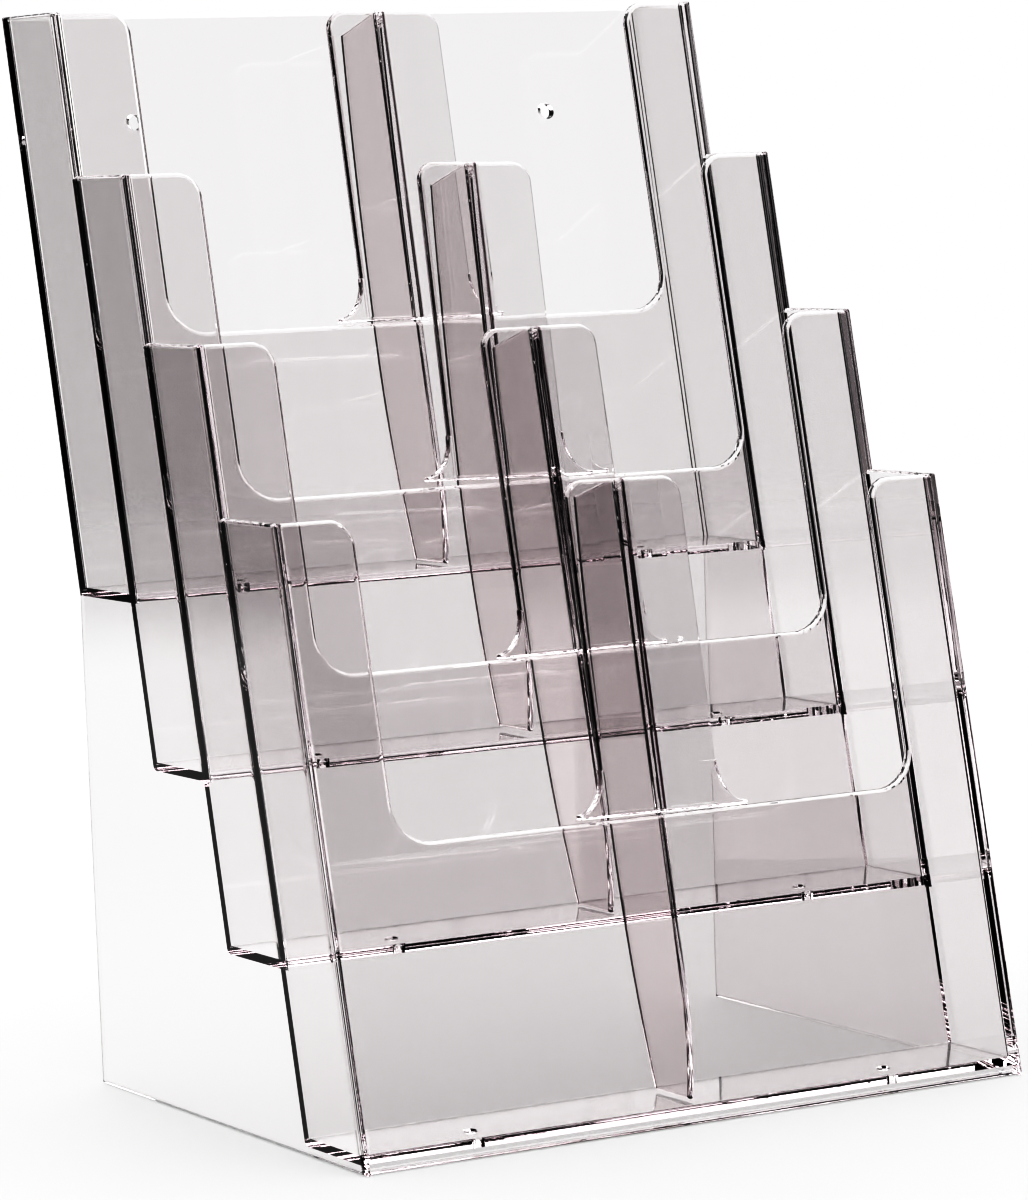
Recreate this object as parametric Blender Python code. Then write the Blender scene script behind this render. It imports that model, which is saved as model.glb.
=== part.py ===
"""Clear four-tier leaflet and magazine rack with a lift-out divider in each tier.

The rack stands on Z = 0 with its width along X, its pockets opening upwards and its front
towards -Y. The origin is at the middle of the footprint of its bounding box. Sizes are metres.

Every pocket leans back by the same angle. Panels, shelves and dividers are therefore drawn
upright, in a frame where a pocket's front face is a plane of constant y, and then sheared
back by that angle, which keeps every top edge and shelf level.
"""

from math import atan, cos, pi, radians, sin, tan

import bmesh
import bpy
from mathutils import Matrix, Vector

# Driving dimensions of the body
TIERS = 4
LEAN = tan(radians(12.1))  # how far a panel goes back for each metre of height
OUTER_WIDTH = 0.230  # over both side panels, at WIDTH_HEIGHT
WIDTH_HEIGHT = 0.160
FLARE = 0.004  # mould draft: each side moves out this much for each metre of height
SIDE_WALL = 0.0028
PANEL_WALL = 0.0029  # front and back panels, measured level along Y
SHELF_WALL = 0.0026
POCKET_PITCH = 0.03415  # front face of one tier to front face of the next
REAR_POCKET_EXTRA = 0.0016  # the rear pocket is this much deeper than the others
TIER_RISE = 0.0503
FRONT_TIER_TOP = 0.1825
FOOT_HEIGHT = 0.0026  # underside of the lowest shelf above the ground
GAP = 0.0003  # between neighbouring pieces

# Front panels: two ears with a U-shaped cut between them
EAR_INNER_X = 0.0895
EAR_RADIUS = 0.0075
CUT_RADIUS = 0.012
LIP_DROPS = (0.0930, 0.0983, 0.0990, 0.0999)  # top of the ears to the lip, front tier first

# Holes
WALL_HOLE_X = 0.0758
WALL_HOLE_DROP = 0.0345  # below the top of the back panel
WALL_HOLE_RADIUS = 0.0025
SHELF_HOLE_X = 0.072
SHELF_HOLE_Y = 0.0145  # behind the tier's front face
SHELF_HOLE_RADIUS = 0.002

# Dividers: a flange that fills the middle of the cut, and a web that parts the pocket
WEB_WALL = 0.0022
FLANGE_HEIGHT = 0.0980  # the front one stands proud of its ears, the others about level
FLANGE_HALF_WIDTH = 0.0200
FLANGE_RADIUS = 0.006
TOE_LENGTH = 0.0090
TOE_RISE = 0.0125
TOE_TIP = 0.0012
SIDEWAYS = (0.0008, 0.0007, 0.0030, -0.0014)  # how each one was dropped in, front tier first
TILTS = (radians(0.8), 0.0, radians(1.6), radians(0.5))  # top towards +X
WEB_FRONT = PANEL_WALL + 0.0004  # the web runs just behind the front panel
WEB_ROOT = PANEL_WALL - 0.001  # how deep the web is rooted in the flange
WEB_BACK = 0.0336  # where the web is deepest
WEB_BACK_RISE = 0.004  # and how far above the lip that is
WEB_BACK_TOP = 0.0300
WEB_BACK_BOTTOM = 0.0270
WEB_TOP_SLOPE_START = 0.006
WEB_TOP_DROP = 0.0066
WEB_FRONT_BOTTOM = 0.0080
WEB_TAPER = 0.030  # height over which the web's lower front corner draws in
WEB_UPPER_BULGE = 0.0008
WEB_LOWER_BULGE = 0.0022
WEB_TAPER_BULGE = 0.0010

ARC_STEPS = 6
HOLE_STEPS = 20

# Derived sizes
BACK_PANEL_FRONT = TIERS * POCKET_PITCH + REAR_POCKET_EXTRA
BACK_PANEL_BACK = BACK_PANEL_FRONT + PANEL_WALL
TOTAL_HEIGHT = FRONT_TIER_TOP + (TIERS - 1) * TIER_RISE
TOTAL_DEPTH = BACK_PANEL_BACK + LEAN * TOTAL_HEIGHT
TIER_NAMES = ("front", "lower", "upper", "rear")


def tier_top(tier):
    return FRONT_TIER_TOP + tier * TIER_RISE


def shelf_underside(tier):
    return FOOT_HEIGHT + tier * TIER_RISE


def lip_height(tier):
    return tier_top(tier) - LIP_DROPS[tier]


def flange_foot(tier):
    return lip_height(tier) + GAP


def flange_top(tier):
    return flange_foot(tier) + FLANGE_HEIGHT


def outer_half(z):
    return OUTER_WIDTH / 2 + FLARE * (z - WIDTH_HEIGHT)


def inner_half(z):
    """Half the width of a panel or shelf that fits between the side panels."""
    return outer_half(z) - SIDE_WALL - GAP


def arc(centre, radii, start, end, steps=ARC_STEPS):
    """Points on part of an ellipse, from one angle to another, both ends included."""
    turn = (end - start) / steps
    return [
        (
            centre[0] + radii[0] * cos(start + turn * i),
            centre[1] + radii[1] * sin(start + turn * i),
        )
        for i in range(steps + 1)
    ]


def circle(centre, radius):
    return arc(centre, (radius, radius), 0, 2 * pi, HOLE_STEPS)[:-1]


def bow(start, end, bulge, steps=ARC_STEPS):
    """Points on a shallow curve between two points, which bows out by bulge along the first axis."""
    points = []
    for i in range(1, steps + 1):
        t = i / steps
        points.append(
            (
                start[0] + (end[0] - start[0]) * t + 4 * bulge * t * (1 - t),
                start[1] + (end[1] - start[1]) * t,
            )
        )
    return points


def mirrored(right_half):
    """A closed outline from its right half, which runs from the bottom to the top."""
    return right_half + [(-x, z) for x, z in reversed(right_half)]


def plate_mesh(name, loops, thickness):
    """A flat plate in the XY plane, centred on z = 0. Loops after the first are holes."""
    curve = bpy.data.curves.new(name, "CURVE")
    curve.dimensions = "2D"
    curve.fill_mode = "BOTH"
    curve.extrude = thickness / 2
    for loop in loops:
        spline = curve.splines.new("POLY")
        spline.points.add(len(loop) - 1)
        for point, (x, y) in zip(spline.points, loop):
            point.co = (x, y, 0, 1)
        spline.use_cyclic_u = True
    guide = bpy.data.objects.new(name + "_outline", curve)
    bpy.context.scene.collection.objects.link(guide)
    depsgraph = bpy.context.evaluated_depsgraph_get()
    mesh = bpy.data.meshes.new_from_object(guide.evaluated_get(depsgraph))
    bpy.data.objects.remove(guide)
    bpy.data.curves.remove(curve)
    work = bmesh.new()
    work.from_mesh(mesh)
    bmesh.ops.remove_doubles(work, verts=work.verts, dist=0.000001)
    bmesh.ops.recalc_face_normals(work, faces=work.faces)
    work.to_mesh(mesh)
    work.free()
    mesh.name = name
    return mesh


# Where a plate's own X, Y and thickness directions point in the rack
FACING_FRONT = Matrix(((1, 0, 0), (0, 0, -1), (0, 1, 0))).to_4x4()
FACING_SIDE = Matrix(((0, 0, 1), (1, 0, 0), (0, 1, 0))).to_4x4()

# Leans the upright drawing back, and centres its depth on the origin
LEANING = Matrix.Translation((0, -TOTAL_DEPTH / 2, 0)) @ Matrix(
    ((1, 0, 0, 0), (0, 1, LEAN, 0), (0, 0, 1, 0), (0, 0, 0, 1))
)


def new_object(name, mesh, material, collection):
    obj = bpy.data.objects.new(name, mesh)
    obj.data.materials.clear()
    obj.data.materials.append(material)
    collection.objects.link(obj)
    return obj


def clear_plastic(name, tint):
    """Water-clear moulded polystyrene with a slight tint."""
    material = bpy.data.materials.new(name)
    material.use_nodes = True
    shader = material.node_tree.nodes["Principled BSDF"]
    shader.inputs["Base Color"].default_value = (*tint, 1)
    shader.inputs["Roughness"].default_value = 0.03
    shader.inputs["Metallic"].default_value = 0
    shader.inputs["IOR"].default_value = 1.59
    shader.inputs["Transmission Weight"].default_value = 1
    return material


def side_panel(name, side, material, collection):
    """A stepped side wall: one step for each tier, over a stand with an upright rear edge."""

    def leaning(y, z):
        return (y + LEAN * z, z)

    outline = [(0, 0)]
    for tier in range(TIERS):
        top = tier_top(tier)
        outline.append(leaning(tier * POCKET_PITCH, top))
        if tier < TIERS - 1:
            outline.append(leaning((tier + 1) * POCKET_PITCH, top))
    outline.append(leaning(BACK_PANEL_BACK, TOTAL_HEIGHT))
    stand_top = leaning(BACK_PANEL_BACK, shelf_underside(TIERS - 1))
    outline.append(stand_top)
    outline.append((stand_top[0], 0))
    mesh = plate_mesh(name, [outline], SIDE_WALL)
    centre_x = side * (OUTER_WIDTH / 2 - SIDE_WALL / 2)
    flaring = Matrix(((1, 0, side * FLARE, 0), (0, 1, 0, 0), (0, 0, 1, 0), (0, 0, 0, 1)))
    place = Matrix.Translation((centre_x, -TOTAL_DEPTH / 2, 0))
    level = Matrix.Translation((0, 0, -WIDTH_HEIGHT))
    mesh.transform(place @ level.inverted() @ flaring @ level @ FACING_SIDE)
    return new_object(name, mesh, material, collection)


def upright_plate(name, loops, front_y, thickness):
    """A plate drawn in X and Z with its front face at front_y, leaned back."""
    mesh = plate_mesh(name, loops, thickness)
    place = Matrix.Translation((0, front_y + thickness / 2, 0))
    mesh.transform(LEANING @ place @ FACING_FRONT)
    return mesh


def front_panel(tier, material, collection):
    """A tier's front, which runs on down as the back wall of the pocket in front of it."""
    name = TIER_NAMES[tier] + "_tier_front_panel"
    bottom = shelf_underside(tier - 1) if tier else 0
    top = tier_top(tier)
    lip = lip_height(tier)
    right = [(inner_half(bottom), bottom), (inner_half(top), top)]
    ear = (EAR_INNER_X + EAR_RADIUS, top - EAR_RADIUS)
    right += arc(ear, (EAR_RADIUS, EAR_RADIUS), pi / 2, pi)
    cut = (EAR_INNER_X - CUT_RADIUS, lip + CUT_RADIUS)
    right += arc(cut, (CUT_RADIUS, CUT_RADIUS), 0, -pi / 2)
    mesh = upright_plate(name, [mirrored(right)], tier * POCKET_PITCH, PANEL_WALL)
    return new_object(name, mesh, material, collection)


def back_panel(material, collection):
    """The plain rear wall of the rear pocket, with two holes for wall fixing."""
    bottom = shelf_underside(TIERS - 1)
    right = [(inner_half(bottom), bottom), (inner_half(TOTAL_HEIGHT), TOTAL_HEIGHT)]
    loops = [mirrored(right)]
    for side in (-1, 1):
        centre = (side * WALL_HOLE_X, TOTAL_HEIGHT - WALL_HOLE_DROP)
        loops.append(circle(centre, WALL_HOLE_RADIUS))
    mesh = upright_plate("back_panel", loops, BACK_PANEL_FRONT, PANEL_WALL)
    return new_object("back_panel", mesh, material, collection)


def shelf(tier, material, collection):
    """A pocket's floor, between its front panel and the panel behind it."""
    name = TIER_NAMES[tier] + "_tier_shelf"
    underside = shelf_underside(tier)
    start = tier * POCKET_PITCH + PANEL_WALL + GAP
    behind = BACK_PANEL_FRONT if tier == TIERS - 1 else (tier + 1) * POCKET_PITCH
    end = behind - GAP
    half = inner_half(underside)
    loops = [[(-half, start), (half, start), (half, end), (-half, end)]]
    hole_y = tier * POCKET_PITCH + SHELF_HOLE_Y
    for side in (-1, 1):
        loops.append(circle((side * SHELF_HOLE_X, hole_y), SHELF_HOLE_RADIUS))
    mesh = plate_mesh(name, loops, SHELF_WALL)
    mesh.transform(LEANING @ Matrix.Translation((0, 0, underside + SHELF_WALL / 2)))
    return new_object(name, mesh, material, collection)


def flange_outline(tier):
    """The divider's front: round top corners, and concave feet that stand on the lip."""
    top = flange_top(tier)
    foot = flange_foot(tier)
    tip_x = FLANGE_HALF_WIDTH + TOE_LENGTH
    right = [(tip_x, foot)]
    toe = (tip_x, foot + TOE_TIP + TOE_RISE)
    right += arc(toe, (TOE_LENGTH, TOE_RISE), -pi / 2, -pi)
    corner = (FLANGE_HALF_WIDTH - FLANGE_RADIUS, top - FLANGE_RADIUS)
    right += arc(corner, (FLANGE_RADIUS, FLANGE_RADIUS), 0, pi / 2)
    return mirrored(right)


def web_outline(tier):
    """The divider's web in Y and Z: bowed to the back wall, and drawn in at both lower corners."""
    top = flange_top(tier) - GAP
    lip = flange_foot(tier) + 2 * GAP
    floor = shelf_underside(tier) + SHELF_WALL + GAP
    back_top = (WEB_BACK_TOP, top - WEB_TOP_DROP)
    back_middle = (WEB_BACK, lip + WEB_BACK_RISE)
    back_bottom = (WEB_BACK_BOTTOM, floor)
    points = [(WEB_ROOT, lip), (WEB_ROOT, top), (WEB_TOP_SLOPE_START, top)]
    points.append(back_top)
    points += bow(back_top, back_middle, WEB_UPPER_BULGE)
    points += bow(back_middle, back_bottom, WEB_LOWER_BULGE)
    points.append((WEB_FRONT_BOTTOM, floor))
    points += bow(points[-1], (WEB_FRONT, floor + WEB_TAPER), -WEB_TAPER_BULGE)
    points.append((WEB_FRONT, lip))
    return points


def divider(tier, material, collection, cutters):
    """A lift-out divider: flange and web joined into one T-shaped piece."""
    name = TIER_NAMES[tier] + "_tier_divider"
    front_y = tier * POCKET_PITCH
    flange = plate_mesh(name, [flange_outline(tier)], PANEL_WALL)
    flange.transform(Matrix.Translation((0, front_y + PANEL_WALL / 2, 0)) @ FACING_FRONT)
    web = plate_mesh(name + "_web", [web_outline(tier)], WEB_WALL)
    web.transform(Matrix.Translation((0, front_y, 0)) @ FACING_SIDE)
    piece = new_object(name, flange, material, collection)
    web_piece = new_object(name + "_web", web, material, cutters)
    web_piece.hide_render = True
    web_piece.display_type = "WIRE"
    union = piece.modifiers.new("web", "BOOLEAN")
    union.operation = "UNION"
    union.solver = "EXACT"
    union.object = web_piece
    depsgraph = bpy.context.evaluated_depsgraph_get()
    joined = bpy.data.meshes.new_from_object(piece.evaluated_get(depsgraph))
    joined.name = name
    piece.modifiers.clear()
    piece.data = joined
    bpy.data.objects.remove(web_piece)
    # The origin goes to the foot of the flange, on the line the divider slides along. A tilted
    # divider is turned in the plane of its flange and stands on one toe.
    foot = LEANING @ Vector((0, front_y, flange_foot(tier)))
    joined.transform(Matrix.Translation(-foot) @ LEANING)
    lean_angle = atan(LEAN)
    panel_normal = Vector((0, cos(lean_angle), -sin(lean_angle)))
    uphill = Vector((0, sin(lean_angle), cos(lean_angle)))
    joined.transform(Matrix.Rotation(TILTS[tier], 4, panel_normal))
    lift = (FLANGE_HALF_WIDTH + TOE_LENGTH) * sin(TILTS[tier])
    piece.location = foot + Vector((SIDEWAYS[tier], 0, 0)) + lift * uphill
    return piece


def main():
    for obj in list(bpy.data.objects):
        bpy.data.objects.remove(obj)
    rack = bpy.data.collections.new("magazine_rack")
    cutters = bpy.data.collections.new("cutters")
    for collection in (rack, cutters):
        bpy.context.scene.collection.children.link(collection)
    body = clear_plastic("clear_body", (0.93, 0.915, 0.92))
    lift_out = clear_plastic("clear_divider", (0.92, 0.90, 0.905))
    side_panel("left_side_panel", -1, body, rack)
    side_panel("right_side_panel", 1, body, rack)
    back_panel(body, rack)
    for tier in range(TIERS):
        front_panel(tier, body, rack)
        shelf(tier, body, rack)
        divider(tier, lift_out, rack, cutters)
    bpy.context.view_layer.update()


main()
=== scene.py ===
"""Looks for the clear plastic four-tier magazine rack: one moulded body and four dividers."""

from math import atan, cos, pi, radians, sin, tan

import bmesh
import bpy
from mathutils import Matrix, Vector

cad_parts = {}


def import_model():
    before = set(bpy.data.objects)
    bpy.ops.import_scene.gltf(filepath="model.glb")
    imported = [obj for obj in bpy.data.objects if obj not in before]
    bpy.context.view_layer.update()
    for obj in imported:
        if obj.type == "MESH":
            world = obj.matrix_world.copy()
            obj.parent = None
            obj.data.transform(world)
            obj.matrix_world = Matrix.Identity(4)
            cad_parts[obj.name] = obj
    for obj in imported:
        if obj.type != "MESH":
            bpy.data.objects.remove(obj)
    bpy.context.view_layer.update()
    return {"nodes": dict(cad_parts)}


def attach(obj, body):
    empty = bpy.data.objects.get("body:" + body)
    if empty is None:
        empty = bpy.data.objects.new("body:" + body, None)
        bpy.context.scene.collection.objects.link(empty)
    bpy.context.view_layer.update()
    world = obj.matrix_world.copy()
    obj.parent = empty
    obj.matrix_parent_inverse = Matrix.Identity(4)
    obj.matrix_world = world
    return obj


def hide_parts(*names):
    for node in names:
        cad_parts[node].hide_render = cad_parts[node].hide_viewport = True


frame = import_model()

# The rack's own sizes, in metres, as the CAD has them
TIER_NAMES = ("front", "lower", "upper", "rear")
TIERS = len(TIER_NAMES)
LEAN = tan(radians(12.1))
OUTER_WIDTH, WIDTH_HEIGHT, FLARE = 0.230, 0.160, 0.004
SIDE_WALL, PANEL_WALL, SHELF_WALL = 0.0028, 0.0029, 0.0026
POCKET_PITCH, REAR_POCKET_EXTRA = 0.03415, 0.0016
TIER_RISE, FRONT_TIER_TOP, FOOT_HEIGHT = 0.0503, 0.1825, 0.0026
EAR_INNER_X, EAR_RADIUS, CUT_RADIUS = 0.0895, 0.0075, 0.012
LIP_DROPS = (0.0930, 0.0983, 0.0990, 0.0999)
WALL_HOLE_X, WALL_HOLE_DROP, WALL_HOLE_RADIUS = 0.0758, 0.0345, 0.0025
SHELF_HOLE_X, SHELF_HOLE_Y, SHELF_HOLE_RADIUS = 0.072, 0.0145, 0.002
GAP = 0.0003  # around a divider, where it stands on its lip and shelf
LIP_CLEARANCE = 3 * GAP  # between a web and the lip that it passes over

# The dividers: a flange in front, with a toe on each side, and a web behind it
FLANGE_HEIGHT, FLANGE_HALF_WIDTH, FLANGE_RADIUS = 0.0980, 0.0200, 0.006
TOE_LENGTH, TOE_RISE, TOE_TIP = 0.0090, 0.0125, 0.0012
WEB_WALL = 0.0022
WEB_FRONT, WEB_ROOT = PANEL_WALL + 0.0004, PANEL_WALL - 0.001  # below the lip, and in the flange
WEB_BACK, WEB_BACK_RISE = 0.0336, 0.004  # where the web is deepest, and how far above the lip
WEB_BACK_TOP, WEB_BACK_BOTTOM = 0.0300, 0.0270
WEB_TOP_SLOPE_START, WEB_TOP_DROP = 0.006, 0.0066
WEB_FRONT_BOTTOM, WEB_TAPER = 0.0080, 0.030
WEB_UPPER_BULGE, WEB_LOWER_BULGE, WEB_TAPER_BULGE = 0.0008, 0.0022, 0.0010
SIDEWAYS = (0.0008, 0.0007, 0.0030, -0.0014)  # how each divider was dropped in, front tier first
TILTS = (radians(0.8), 0.0, radians(1.6), radians(0.5))

BACK_PANEL_FRONT = TIERS * POCKET_PITCH + REAR_POCKET_EXTRA
BACK_PANEL_BACK = BACK_PANEL_FRONT + PANEL_WALL
TOTAL_HEIGHT = FRONT_TIER_TOP + (TIERS - 1) * TIER_RISE
TOTAL_DEPTH = BACK_PANEL_BACK + LEAN * TOTAL_HEIGHT

# Rounding of the moulded rims and inner corners
WALL_RIM, PANEL_RIM, FLANGE_RIM, WEB_RIM, TOE_RIM = 0.0013, 0.0013, 0.0012, 0.0008, 0.0004
ROOT_FILLET = 0.0020  # where a divider's web meets its flange
CORNER_FILLET = 0.0018  # in a pocket's upright corners
FILLET_SHORT = 0.0015  # a corner fillet stops this far below the rim above it
THINNING, THINNING_WIDTH = 0.0017, 0.0070  # of a flange's right edge, from behind
RIM_STEPS, ARC_STEPS, FILLET_STEPS, HOLE_STEPS = 5, 14, 8, 40

LEVEL = 1e-7  # an edge whose ends differ less in height is level

# Pieces run into each other by these before they are joined, so that no two faces coincide
HAIR = 0.0001  # also the shift of a face that would otherwise lie in another's plane
BURIED = 0.0006  # a corner fillet in its wall and panel, and a root fillet below the flange's top
ROOT_BURIED = 0.0004
SHELF_BURIED = 0.0015
TOE_OVERLAP = 0.003
CUTTER_REACH = 0.001  # the thinning cutter beyond the flange
CUTTER_LENGTH = 0.012  # the hole cutters, from end to end

FACING_FRONT = Matrix(((1, 0, 0), (0, 0, -1), (0, 1, 0))).to_4x4()
FACING_SIDE = Matrix(((0, 0, 1), (1, 0, 0), (0, 1, 0))).to_4x4()
LEANING = Matrix.Translation((0, -TOTAL_DEPTH / 2, 0)) @ Matrix(
    ((1, 0, 0, 0), (0, 1, LEAN, 0), (0, 0, 1, 0), (0, 0, 0, 1))
)


def tier_top(tier):
    """The top of a tier's ears."""
    return FRONT_TIER_TOP + tier * TIER_RISE


def shelf_underside(tier):
    return FOOT_HEIGHT + tier * TIER_RISE


def lip_height(tier):
    return tier_top(tier) - LIP_DROPS[tier]


def outer_half(z):
    """Half the width over the side walls at height z, which the mould's draft widens upwards."""
    return OUTER_WIDTH / 2 + FLARE * (z - WIDTH_HEIGHT)


def arc(centre, radii, start, end, steps=ARC_STEPS):
    """Points along part of an ellipse, from angle start to angle end."""
    turn = (end - start) / steps
    return [
        (
            centre[0] + radii[0] * cos(start + turn * i),
            centre[1] + radii[1] * sin(start + turn * i),
        )
        for i in range(steps + 1)
    ]


def bow(start, end, bulge, steps=ARC_STEPS):
    """Points on a shallow curve that bows out by bulge along the first axis, start left out."""
    points = []
    for i in range(1, steps + 1):
        t = i / steps
        across = start[0] + (end[0] - start[0]) * t + 4 * bulge * t * (1 - t)
        points.append((across, start[1] + (end[1] - start[1]) * t))
    return points


def mirrored(right_half):
    """A whole outline: the points of its right half, then their mirror images in reverse order."""
    return right_half + [(-x, z) for x, z in reversed(right_half)]


def rounded_plate(outline, thickness, rim):
    """A bmesh plate in the XY plane, centred on z = 0, with its rims rounded."""
    work = bmesh.new()
    verts = [work.verts.new((x, y, -thickness / 2)) for x, y in outline]
    cap = work.faces.new(verts)
    swept = bmesh.ops.extrude_face_region(work, geom=[cap])
    lifted = [v for v in swept["geom"] if isinstance(v, bmesh.types.BMVert)]
    bmesh.ops.translate(work, verts=lifted, vec=(0, 0, thickness))
    bmesh.ops.recalc_face_normals(work, faces=work.faces)
    if rim:
        rims = [e for e in work.edges if abs(e.verts[0].co.z - e.verts[1].co.z) < LEVEL]
        bmesh.ops.bevel(
            work,
            geom=rims,
            offset=rim,
            offset_type="OFFSET",
            segments=RIM_STEPS,
            profile=0.5,
            affect="EDGES",
            clamp_overlap=False,
        )
    return work


def to_object(work, name, matrix):
    """Moves a bmesh into place and turns it into an object."""
    work.transform(matrix)
    bmesh.ops.recalc_face_normals(work, faces=work.faces)
    mesh = bpy.data.meshes.new(name)
    work.to_mesh(mesh)
    work.free()
    obj = bpy.data.objects.new(name, mesh)
    bpy.context.scene.collection.objects.link(obj)
    return obj


def upright(outline, front_y, thickness, rim, name):
    """A plate drawn in X and Z with its front face at front_y, leaned back."""
    place = Matrix.Translation((0, front_y + thickness / 2, 0))
    work = rounded_plate(outline, thickness, rim)
    return to_object(work, name, LEANING @ place @ FACING_FRONT)


def combine(base, tool, operation="UNION"):
    """Applies one Boolean to base's mesh and removes the tool."""
    step = base.modifiers.new("combine", "BOOLEAN")
    step.operation = operation
    step.solver = "EXACT"
    step.object = tool
    depsgraph = bpy.context.evaluated_depsgraph_get()
    mesh = bpy.data.meshes.new_from_object(base.evaluated_get(depsgraph))
    base.modifiers.clear()
    old = base.data
    base.data = mesh
    bpy.data.meshes.remove(old)
    bpy.data.objects.remove(tool)


def side_wall(side):
    """A stepped side wall with its stand, each rim rounded."""

    def leaning(y, z):
        return (y + LEAN * z, z)

    outline = [(0, 0)]
    for tier in range(TIERS):
        top = tier_top(tier)
        outline.append(leaning(tier * POCKET_PITCH, top))
        if tier < TIERS - 1:
            outline.append(leaning((tier + 1) * POCKET_PITCH, top))
    outline.append(leaning(BACK_PANEL_BACK, TOTAL_HEIGHT))
    stand_top = leaning(BACK_PANEL_BACK, shelf_underside(TIERS - 1))
    outline += [stand_top, (stand_top[0], 0)]
    work = rounded_plate(outline, SIDE_WALL, WALL_RIM)
    centre_x = side * (OUTER_WIDTH / 2 - SIDE_WALL / 2)
    flaring = Matrix(((1, 0, side * FLARE, 0), (0, 1, 0, 0), (0, 0, 1, 0), (0, 0, 0, 1)))
    place = Matrix.Translation((centre_x, -TOTAL_DEPTH / 2, 0))
    level = Matrix.Translation((0, 0, -WIDTH_HEIGHT))
    matrix = place @ level.inverted() @ flaring @ level @ FACING_SIDE
    return to_object(work, "wall", matrix)


def into_wall(z):
    """Half the width of a panel that reaches just past the middle of the side walls."""
    return outer_half(z) - SIDE_WALL / 2 + 2 * HAIR


def front_panel(tier):
    """A tier's front, with its ears and cut; it runs down as the back of the pocket before it."""
    bottom = shelf_underside(tier - 1) + 2 * HAIR if tier else HAIR
    top = tier_top(tier) - HAIR
    lip = lip_height(tier)
    right = [(into_wall(bottom), bottom), (into_wall(top), top)]
    ear = (EAR_INNER_X + EAR_RADIUS, top - EAR_RADIUS)
    right += arc(ear, (EAR_RADIUS, EAR_RADIUS), pi / 2, pi)
    cut = (EAR_INNER_X - CUT_RADIUS, lip + CUT_RADIUS)
    right += arc(cut, (CUT_RADIUS, CUT_RADIUS), 0, -pi / 2)
    front_y = tier * POCKET_PITCH + HAIR
    return upright(mirrored(right), front_y, PANEL_WALL, PANEL_RIM, "front")


def back_panel():
    """The rear pocket's back, which ends at the stand's open top."""
    bottom = shelf_underside(TIERS - 1) + 2 * HAIR
    top = TOTAL_HEIGHT - HAIR
    right = [(into_wall(bottom), bottom), (into_wall(top), top)]
    front_y = BACK_PANEL_FRONT - HAIR
    return upright(mirrored(right), front_y, PANEL_WALL, PANEL_RIM, "back")


def behind_pocket(tier):
    """Where the panel behind a tier's pocket has its front face."""
    return BACK_PANEL_FRONT if tier == TIERS - 1 else (tier + 1) * POCKET_PITCH


def shelf_middle(tier):
    return Matrix.Translation((0, 0, shelf_underside(tier) + SHELF_WALL / 2))


def shelf(tier):
    start = tier * POCKET_PITCH + PANEL_WALL - SHELF_BURIED
    end = behind_pocket(tier) + SHELF_BURIED
    half = into_wall(shelf_underside(tier))
    work = rounded_plate([(-half, start), (half, start), (half, end), (-half, end)], SHELF_WALL, 0)
    return to_object(work, "shelf", LEANING @ shelf_middle(tier))


def corner_fillet(side, front_y, bottom, top, facing):
    """The rounded inner corner between a side wall and a panel, on its face at front_y.

    facing is 1 on a panel's back face and -1 on its front face.
    """
    centre = (-CORNER_FILLET, facing * CORNER_FILLET)
    round_face = arc(centre, (CORNER_FILLET, CORNER_FILLET), 0, -facing * pi / 2, FILLET_STEPS)
    profile = [(BURIED, centre[1]), (BURIED, -facing * BURIED), (centre[0], -facing * BURIED)]
    profile += reversed(round_face)
    work = rounded_plate([(side * x, y) for x, y in profile], top - bottom, 0)
    spread = (outer_half(top) - outer_half(bottom)) / (top - bottom)
    flare = Matrix(((1, 0, side * spread, 0), (0, 1, 0, 0), (0, 0, 1, 0), (0, 0, 0, 1)))
    middle = (bottom + top) / 2
    place = Matrix.Translation((side * (outer_half(middle) - SIDE_WALL), front_y, middle))
    return to_object(work, "fillet", LEANING @ place @ flare)


def corner_fillets():
    """A fillet down each side of every pocket, behind its front panel and before its back."""
    made = []
    for side in (-1, 1):
        for tier in range(TIERS):
            bottom = shelf_underside(tier) + SHELF_WALL / 2
            top = tier_top(tier) - FILLET_SHORT
            inside = tier * POCKET_PITCH + PANEL_WALL
            made.append(corner_fillet(side, inside, bottom, top, 1))
            last = tier == TIERS - 1
            low = bottom if last else max(bottom, shelf_underside(tier + 1))
            made.append(corner_fillet(side, behind_pocket(tier), low, top, -1))
    return made


def hole_cutter(centre, radius, matrix):
    outline = arc(centre, (radius, radius), 0, 2 * pi, HOLE_STEPS)[:-1]
    return to_object(rounded_plate(outline, CUTTER_LENGTH, 0), "cutter", matrix)


def rack_body():
    """The whole fixed moulding: walls, panels and shelves joined into one closed body."""
    body = side_wall(-1)
    body.name = "moulded_body"
    parts = [side_wall(1), back_panel()]
    parts += [front_panel(tier) for tier in range(TIERS)]
    parts += [shelf(tier) for tier in range(TIERS)]
    parts += corner_fillets()
    for part in parts:
        combine(body, part)
    for side in (-1, 1):
        centre = (side * WALL_HOLE_X, TOTAL_HEIGHT - WALL_HOLE_DROP)
        middle = Matrix.Translation((0, BACK_PANEL_FRONT + PANEL_WALL / 2, 0))
        matrix = LEANING @ middle @ FACING_FRONT
        combine(body, hole_cutter(centre, WALL_HOLE_RADIUS, matrix), "DIFFERENCE")
        for tier in range(TIERS):
            hole = (side * SHELF_HOLE_X, tier * POCKET_PITCH + SHELF_HOLE_Y)
            cutter = hole_cutter(hole, SHELF_HOLE_RADIUS, LEANING @ shelf_middle(tier))
            combine(body, cutter, "DIFFERENCE")
    return body


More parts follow.
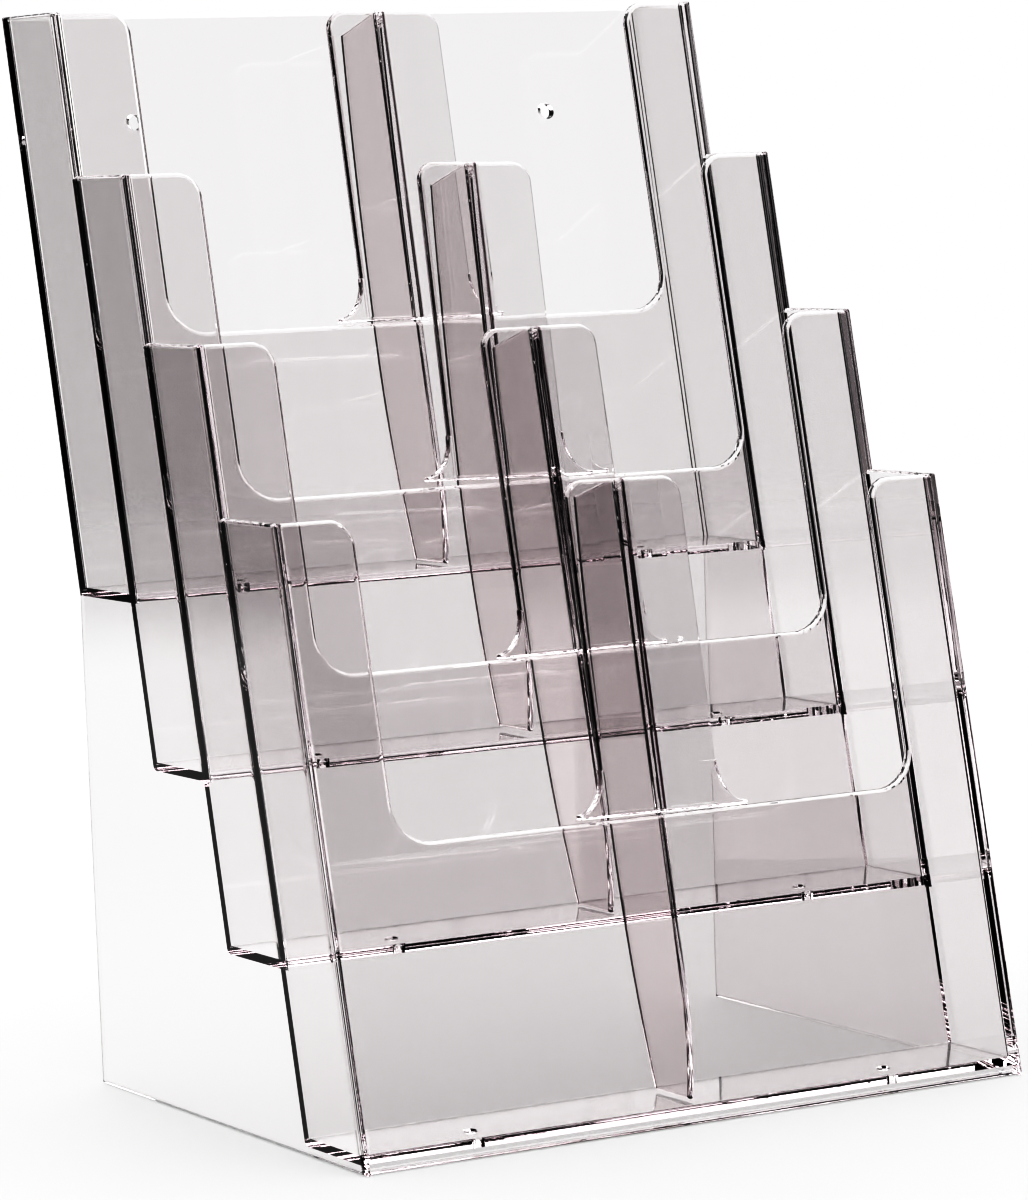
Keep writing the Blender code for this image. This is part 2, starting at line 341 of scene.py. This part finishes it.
def flange_outline(tier):
    """A flange without its toes."""
    foot = lip_height(tier) + GAP
    top = foot + FLANGE_HEIGHT
    corner = (FLANGE_HALF_WIDTH - FLANGE_RADIUS, top - FLANGE_RADIUS)
    right = [(FLANGE_HALF_WIDTH, foot)]
    right += arc(corner, (FLANGE_RADIUS, FLANGE_RADIUS), 0, pi / 2)
    return mirrored(right)


def toe_outline(tier):
    """The foot of the flange, which runs out to a thin toe on each side."""
    foot = lip_height(tier) + GAP
    tip_x = FLANGE_HALF_WIDTH + TOE_LENGTH
    toe = (tip_x, foot + TOE_TIP + TOE_RISE)
    right = [(tip_x, foot)] + arc(toe, (TOE_LENGTH, TOE_RISE), -pi / 2, -pi)
    right.append((FLANGE_HALF_WIDTH - TOE_OVERLAP, toe[1]))
    return mirrored(right)


def web_outline(tier):
    """A divider's web, seen from the side: its depth behind the tier's front face and its height."""
    top = lip_height(tier) + FLANGE_HEIGHT
    lip = lip_height(tier) + LIP_CLEARANCE
    floor_height = shelf_underside(tier) + SHELF_WALL + GAP
    back_top = (WEB_BACK_TOP, top - WEB_TOP_DROP)
    back_middle = (WEB_BACK, lip + WEB_BACK_RISE)
    back_bottom = (WEB_BACK_BOTTOM, floor_height)
    points = [(WEB_ROOT, lip), (WEB_ROOT, top), (WEB_TOP_SLOPE_START, top)]
    points.append(back_top)
    points += bow(back_top, back_middle, WEB_UPPER_BULGE)
    points += bow(back_middle, back_bottom, WEB_LOWER_BULGE)
    points.append((WEB_FRONT_BOTTOM, floor_height))
    points += bow(points[-1], (WEB_FRONT, floor_height + WEB_TAPER), -WEB_TAPER_BULGE)
    points.append((WEB_FRONT, lip))
    return points


def column(outline, bottom, top, name):
    """An upright solid with the outline, drawn in X and Y, as its plan."""
    work = rounded_plate(outline, top - bottom, 0)
    return to_object(work, name, Matrix.Translation((0, 0, (bottom + top) / 2)))


def root_fillet(tier):
    """The rounded root between web and flange."""
    reach = WEB_WALL / 2 + ROOT_FILLET
    centre = (reach, PANEL_WALL + ROOT_FILLET)
    right = [(reach, PANEL_WALL - ROOT_BURIED)]
    right += arc(centre, (ROOT_FILLET, ROOT_FILLET), -pi / 2, -pi, FILLET_STEPS)
    bottom = lip_height(tier) + LIP_CLEARANCE
    top = lip_height(tier) + FLANGE_HEIGHT - BURIED
    return column(mirrored(right), bottom, top, "fillet")


def thinning_cutter(tier):
    """The wedge that thins a flange's right edge from behind, above the toe."""
    edge_x, back_y = FLANGE_HALF_WIDTH + HAIR, tier * POCKET_PITCH + PANEL_WALL
    inner_x, clear_y = edge_x - THINNING_WIDTH, back_y + CUTTER_REACH
    wedge = [(edge_x, back_y - THINNING), (edge_x, clear_y), (inner_x, clear_y), (inner_x, back_y)]
    bottom = lip_height(tier) + TOE_TIP + TOE_RISE
    top = lip_height(tier) + FLANGE_HEIGHT + 2 * CUTTER_REACH
    return column(wedge, bottom, top, "cutter")


def settled(tier):
    """From a divider standing straight to how it leans, off centre and tilted, in its pocket."""
    foot = LEANING @ Vector((0, tier * POCKET_PITCH, lip_height(tier) + GAP))
    lean_angle = atan(LEAN)
    panel_normal = Vector((0, cos(lean_angle), -sin(lean_angle)))
    uphill = Vector((0, sin(lean_angle), cos(lean_angle)))
    lift = (FLANGE_HALF_WIDTH + TOE_LENGTH) * sin(TILTS[tier])
    place = foot + Vector((SIDEWAYS[tier], 0, 0)) + lift * uphill
    turn = Matrix.Rotation(TILTS[tier], 4, panel_normal)
    return Matrix.Translation(place) @ turn @ Matrix.Translation(-foot) @ LEANING


def divider(tier):
    """A lift-out divider: flange, toes, web and rounded root as one closed piece."""
    stand = Matrix.Translation((0, tier * POCKET_PITCH, 0))
    middle = Matrix.Translation((0, PANEL_WALL / 2, 0))
    work = rounded_plate(flange_outline(tier), PANEL_WALL, FLANGE_RIM)
    piece = to_object(work, TIER_NAMES[tier] + "_divider", stand @ middle @ FACING_FRONT)
    work = rounded_plate(toe_outline(tier), PANEL_WALL - HAIR, TOE_RIM)
    combine(piece, to_object(work, "toes", stand @ middle @ FACING_FRONT))
    combine(piece, thinning_cutter(tier), "DIFFERENCE")
    work = rounded_plate(web_outline(tier), WEB_WALL, WEB_RIM)
    combine(piece, to_object(work, "web", stand @ FACING_SIDE))
    root = root_fillet(tier)
    root.data.transform(stand)
    combine(piece, root)
    piece.data.transform(settled(tier))
    return piece


def node(tree, kind, **settings):
    """Adds a node of a kind to the tree, with its settings."""
    made = tree.nodes.new(kind)
    for name, value in settings.items():
        setattr(made, name, value)
    return made


def smooth_step(tree, source, low, high):
    """0 below low, 1 above high, eased between; low may be the larger."""
    step = node(tree, "ShaderNodeMapRange", interpolation_type="SMOOTHSTEP")
    step.inputs["From Min"].default_value = low
    step.inputs["From Max"].default_value = high
    tree.links.new(source, step.inputs["Value"])
    return step.outputs["Result"]


def between(tree, source, low, high):
    """From low, where the source is 0, to high, where it is 1."""
    span = node(tree, "ShaderNodeMapRange")
    span.inputs["To Min"].default_value = low
    span.inputs["To Max"].default_value = high
    tree.links.new(source, span.inputs["Value"])
    return span.outputs["Result"]


def math_node(tree, operation, *values):
    """A Math node whose inputs are numbers or other nodes' outputs."""
    made = node(tree, "ShaderNodeMath", operation=operation)
    for socket, value in zip(made.inputs, values):
        if isinstance(value, (int, float)):
            socket.default_value = value
        else:
            tree.links.new(value, socket)
    return made.outputs[0]


# Surface detail of the plastic: each pattern's waves in a metre, noise detail and stretch
RIPPLE, RIPPLE_DEPTH = (32, 1, (1, 1, 1)), 0.00003
FLOW_LINES, FLOW_DEPTH = (260, 2, (1, 1, 0.06)), 0.0000015
WEAR, WEAR_STARTS, WEAR_IS_WHOLE = (900, 3, (1, 1, 0.3)), 0.58, 0.72
POLISHED, WORN = 0.0, 0.03  # roughness

# The plastic itself: tint at each surface, and absorption in its depth
STYRENE_IOR = 1.57
ABSORPTION_COLOR, ABSORPTION_DENSITY = (0.90, 0.87, 0.88, 1), 20
BODY_TINT = (0.9575, 0.9470, 0.9490, 1)
FLANGE_TINT = (0.990, 0.983, 0.985, 1)
# The web's tint is the plastic's own mauve, darkened further by painted shade on the web's faces
WEB_TINT_AND_PAINTED_SHADE = (0.932, 0.898, 0.902, 1)
SIDEWAYS_NORMAL = 0.7  # a web's faces have at least this much of X in their normals


def noise(tree, place, pattern):
    """Noise fixed to the piece."""
    scale, detail, stretch = pattern
    stretched = node(tree, "ShaderNodeVectorMath", operation="MULTIPLY")
    stretched.inputs[1].default_value = stretch
    tree.links.new(place, stretched.inputs[0])
    texture = node(tree, "ShaderNodeTexNoise")
    texture.inputs["Scale"].default_value = scale
    texture.inputs["Detail"].default_value = detail
    tree.links.new(stretched.outputs[0], texture.inputs["Vector"])
    return texture.outputs[0]


def bump(tree, height, depth, under=None):
    """Raises the surface by the height times the depth in metres, over another bump if given."""
    made = node(tree, "ShaderNodeBump")
    made.inputs["Strength"].default_value = 1
    made.inputs["Distance"].default_value = depth
    tree.links.new(height, made.inputs["Height"])
    if under:
        tree.links.new(under, made.inputs["Normal"])
    return made.outputs[0]


def moulded_surface(tree, shader):
    """A moulding's slow ripple and upright flow lines, and a polish that wear has dulled in spots."""
    place = node(tree, "ShaderNodeTexCoord").outputs["Object"]
    ripple = bump(tree, noise(tree, place, RIPPLE), RIPPLE_DEPTH)
    flow = bump(tree, noise(tree, place, FLOW_LINES), FLOW_DEPTH, ripple)
    tree.links.new(flow, shader.inputs["Normal"])
    worn = smooth_step(tree, noise(tree, place, WEAR), WEAR_STARTS, WEAR_IS_WHOLE)
    tree.links.new(between(tree, worn, POLISHED, WORN), shader.inputs["Roughness"])


def clear_plastic(name, tint):
    """Clear polystyrene, a faint mauve-grey: tinted at its surfaces and a little more in its depth. A
    tint darker than the plastic's own, as on the web, is painted shade.
    """
    material = bpy.data.materials.new(name)
    material.use_nodes = True
    tree = material.node_tree
    shader = tree.nodes["Principled BSDF"]
    shader.inputs["Base Color"].default_value = tint
    shader.inputs["IOR"].default_value = STYRENE_IOR
    shader.inputs["Transmission Weight"].default_value = 1
    moulded_surface(tree, shader)
    volume = tree.nodes.new("ShaderNodeVolumeAbsorption")
    volume.inputs["Color"].default_value = ABSORPTION_COLOR
    volume.inputs["Density"].default_value = ABSORPTION_DENSITY
    tree.links.new(volume.outputs["Volume"], tree.nodes["Material Output"].inputs["Volume"])
    return material


def dress(piece, body, nodes, materials, choose=None):
    """Gives a piece its materials, the first of them unless choose picks another for a face."""
    piece.data.materials.clear()
    for material in materials:
        piece.data.materials.append(material)
    for polygon in piece.data.polygons:
        polygon.material_index = choose(polygon) if choose else 0
        polygon.use_smooth = False
    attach(piece, body)
    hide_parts(*nodes)


def on_web(polygon):
    """1 for a divider's faces behind its flange, which get the web's darker plastic with its painted
    shade, and 0 for the flange.
    """
    faces_sideways = abs(polygon.normal.x) > SIDEWAYS_NORMAL
    return int(faces_sideways and abs(polygon.center.x) < FLANGE_HALF_WIDTH / 2)


clear_body = clear_plastic("clear_body_plastic", BODY_TINT)
# The web gets a darker copy of the flange's plastic: painted shade on its faces
divider_plastics = [
    clear_plastic("clear_flange_plastic", FLANGE_TINT),
    clear_plastic("clear_web_plastic_painted_shade", WEB_TINT_AND_PAINTED_SHADE),
]
body_nodes = [n for n in frame["nodes"] if not n.endswith("_divider")]
dress(rack_body(), "rack_body", body_nodes, [clear_body])
for tier, tier_name in enumerate(TIER_NAMES):
    cad_node = tier_name + "_tier_divider"
    body = tier_name + "_divider"
    dress(divider(tier), body, [cad_node], divider_plastics, on_web)


# The camera, front left of the rack and a little above it: where it is, then which way it looks
CAMERA_PLACE = (-0.7229, -1.2620, 0.2848)
CAMERA_TURN, CAMERA_DIP, CAMERA_ROLL = radians(29.86), radians(5.39), radians(-1.99)
SENSOR_WIDTH, FOCAL_LENGTH = 36, 165.0
NEAREST_SEEN, FARTHEST_SEEN = 0.05, 50


def aim_camera():
    across = cos(CAMERA_DIP)
    forward = Vector((sin(CAMERA_TURN) * across, cos(CAMERA_TURN) * across, -sin(CAMERA_DIP)))
    level_right = Vector((cos(CAMERA_TURN), -sin(CAMERA_TURN), 0))
    level_up = level_right.cross(forward)
    right = cos(CAMERA_ROLL) * level_right + sin(CAMERA_ROLL) * level_up
    up = cos(CAMERA_ROLL) * level_up - sin(CAMERA_ROLL) * level_right
    data = bpy.data.cameras.new("camera")
    data.sensor_fit = "HORIZONTAL"
    data.sensor_width = SENSOR_WIDTH
    data.lens = FOCAL_LENGTH
    data.clip_start, data.clip_end = NEAREST_SEEN, FARTHEST_SEEN
    camera = bpy.data.objects.new("camera", data)
    bpy.context.scene.collection.objects.link(camera)
    rotation = Matrix((right, up, -forward)).transposed().to_4x4()
    camera.matrix_world = Matrix.Translation(CAMERA_PLACE) @ rotation
    bpy.context.scene.camera = camera


aim_camera()


# The studio's sectors as seen from above, in angles clockwise from +Y: the middle of each, then
# how far to either side of it the sector ends and is whole
BRIGHT_WALL = (radians(23), radians(34), radians(28))
DARK_WALL = (radians(-33), radians(34), radians(24))

# The table. Fades are distances from the rack's middle, near end first, and a glow is the table's
# own light, as the camera sees it directly or as it comes through the plastic.
TABLE_RADIUS, TABLE_HEIGHT, TABLE_SIDES = 2.8, -0.0002, 96
TABLE_ROUGHNESS, TABLE_SPECULAR = 0.7, 0.2
TABLE_EDGE_FADE = (2.1, 2.8)
GLOW_DIRECT = 0.52
GLOW_NEAR, GLOW_FAR, GLOW_FADE = 0.76, 0.73, (0.25, 0.60)
DARK_WALL_FADE = (1.25, 1.75)
TABLE_COLOR_THROUGH, TABLE_COLOR_DIRECT = 0.06, 0.17

# The room: a ceiling above these values of a direction's Z, and how bright each part of it is
CEILING_STARTS, CEILING_IS_WHOLE = 0.40, 0.62
CEILING_LIGHT, DARKEST = 3.5, 0.02

# From scene brightness to picture brightness: a strong contrast, which suits clear plastic
CONTRAST = ((0.15, 0.02), (0.30, 0.07), (0.40, 0.15), (0.55, 0.36), (0.74, 0.70), (0.86, 0.887))
LONG_PATH, SHORT_PATH = 64, 16  # bounces, for light inside the plastic and for other light


def points_into(tree, vector, sector):
    """1 where the vector, seen from above, points into the sector, and 0 outside it."""
    middle, end, whole = sector
    level = node(tree, "ShaderNodeVectorMath", operation="MULTIPLY")
    level.inputs[1].default_value = (1, 1, 0)
    tree.links.new(vector, level.inputs[0])
    unit = node(tree, "ShaderNodeVectorMath", operation="NORMALIZE")
    tree.links.new(level.outputs[0], unit.inputs[0])
    ahead = node(tree, "ShaderNodeVectorMath", operation="DOT_PRODUCT")
    ahead.inputs[1].default_value = (sin(middle), cos(middle), 0)
    tree.links.new(unit.outputs[0], ahead.inputs[0])
    return smooth_step(tree, ahead.outputs["Value"], cos(end), cos(whole))


def table_glow(tree, direct, position, distance):
    """The table's own light: one level for the camera's direct view, and another for light that
    comes through the plastic or off it, a little less far out and none far towards the dark wall.
    """
    far = smooth_step(tree, distance, *GLOW_FADE)
    lit = between(tree, far, GLOW_NEAR, GLOW_FAR)
    away = smooth_step(tree, distance, *DARK_WALL_FADE)
    shade = math_node(tree, "MULTIPLY", away, points_into(tree, position, DARK_WALL))
    through = math_node(tree, "MULTIPLY", lit, math_node(tree, "SUBTRACT", 1, shade))
    glow = node(tree, "ShaderNodeMix")
    tree.links.new(direct, glow.inputs["Factor"])
    tree.links.new(through, glow.inputs["A"])
    glow.inputs["B"].default_value = GLOW_DIRECT
    return glow.outputs["Result"]


def white_table():
    """The table's material, which fades into the white background."""
    material = bpy.data.materials.new("white_table")
    material.use_nodes = True
    tree = material.node_tree
    shader = tree.nodes["Principled BSDF"]
    shader.inputs["Roughness"].default_value = TABLE_ROUGHNESS
    shader.inputs["Specular IOR Level"].default_value = TABLE_SPECULAR
    shader.inputs["Emission Color"].default_value = (1, 1, 1, 1)
    direct = node(tree, "ShaderNodeLightPath").outputs["Is Camera Ray"]
    position = node(tree, "ShaderNodeNewGeometry").outputs["Position"]
    length = node(tree, "ShaderNodeVectorMath", operation="LENGTH")
    tree.links.new(position, length.inputs[0])
    distance = length.outputs["Value"]
    glow = table_glow(tree, direct, position, distance)
    tree.links.new(glow, shader.inputs["Emission Strength"])
    color = between(tree, direct, TABLE_COLOR_THROUGH, TABLE_COLOR_DIRECT)
    tree.links.new(color, shader.inputs["Base Color"])
    mix = node(tree, "ShaderNodeMixShader")
    tree.links.new(smooth_step(tree, distance, *reversed(TABLE_EDGE_FADE)), mix.inputs[0])
    tree.links.new(node(tree, "ShaderNodeBsdfTransparent").outputs[0], mix.inputs[1])
    tree.links.new(shader.outputs[0], mix.inputs[2])
    tree.links.new(mix.outputs[0], tree.nodes["Material Output"].inputs["Surface"])
    return material


def floor():
    """A round table top under the rack."""
    work = bmesh.new()
    bmesh.ops.create_circle(work, cap_ends=True, segments=TABLE_SIDES, radius=TABLE_RADIUS)
    obj = to_object(work, "floor", Matrix.Translation((0, 0, TABLE_HEIGHT)))
    obj.data.materials.append(white_table())


floor()


def softbox(name, location, target, size, power):
    """A rectangular light that the camera doesn't see directly."""
    data = bpy.data.lights.new(name, "AREA")
    data.shape = "RECTANGLE"
    data.size, data.size_y = size
    data.energy = power
    obj = bpy.data.objects.new(name, data)
    obj.location = location
    obj.visible_camera = False
    obj.rotation_euler = (Vector(target) - obj.location).to_track_quat("-Z", "Y").to_euler()
    bpy.context.scene.collection.objects.link(obj)


softbox(
    "left_softbox",
    location=(-0.105, 0.30, 0.17),
    target=(0.12, 0, 0.17),
    size=(0.16, 0.36),
    power=0.09,
)


def world():
    """A bright wall behind the rack and a bright ceiling, with the studio dark to the sides."""
    studio = bpy.data.worlds.new("studio")
    bpy.context.scene.world = studio
    studio.use_nodes = True
    tree = studio.node_tree
    tree.nodes.clear()
    direction = node(tree, "ShaderNodeTexCoord").outputs["Generated"]
    parts = node(tree, "ShaderNodeSeparateXYZ")
    tree.links.new(direction, parts.inputs[0])
    wall = points_into(tree, direction, BRIGHT_WALL)
    ceiling = smooth_step(tree, parts.outputs["Z"], CEILING_STARTS, CEILING_IS_WHOLE)
    overhead = math_node(tree, "MULTIPLY", ceiling, CEILING_LIGHT)
    bright = math_node(tree, "MAXIMUM", wall, overhead)
    studio_light = math_node(tree, "MULTIPLY_ADD", bright, 1 - DARKEST, DARKEST)
    direct = node(tree, "ShaderNodeLightPath").outputs["Is Camera Ray"]
    background = node(tree, "ShaderNodeBackground")
    background.inputs["Color"].default_value = (1, 1, 1, 1)
    strength = math_node(tree, "MAXIMUM", direct, studio_light)
    tree.links.new(strength, background.inputs["Strength"])
    output = node(tree, "ShaderNodeOutputWorld")
    tree.links.new(background.outputs[0], output.inputs["Surface"])


world()


def contrast_curve(view):
    """Sets the plain view transform and bends its combined curve."""
    view.view_transform = "Standard"
    view.use_curve_mapping = True
    combined = view.curve_mapping.curves[3]
    for bright, shown in CONTRAST:
        combined.points.new(bright, shown)
    view.curve_mapping.update()


scene = bpy.context.scene
contrast_curve(scene.view_settings)
scene.cycles.max_bounces = LONG_PATH
scene.cycles.transmission_bounces = LONG_PATH
scene.cycles.glossy_bounces = SHORT_PATH
scene.cycles.transparent_max_bounces = SHORT_PATH
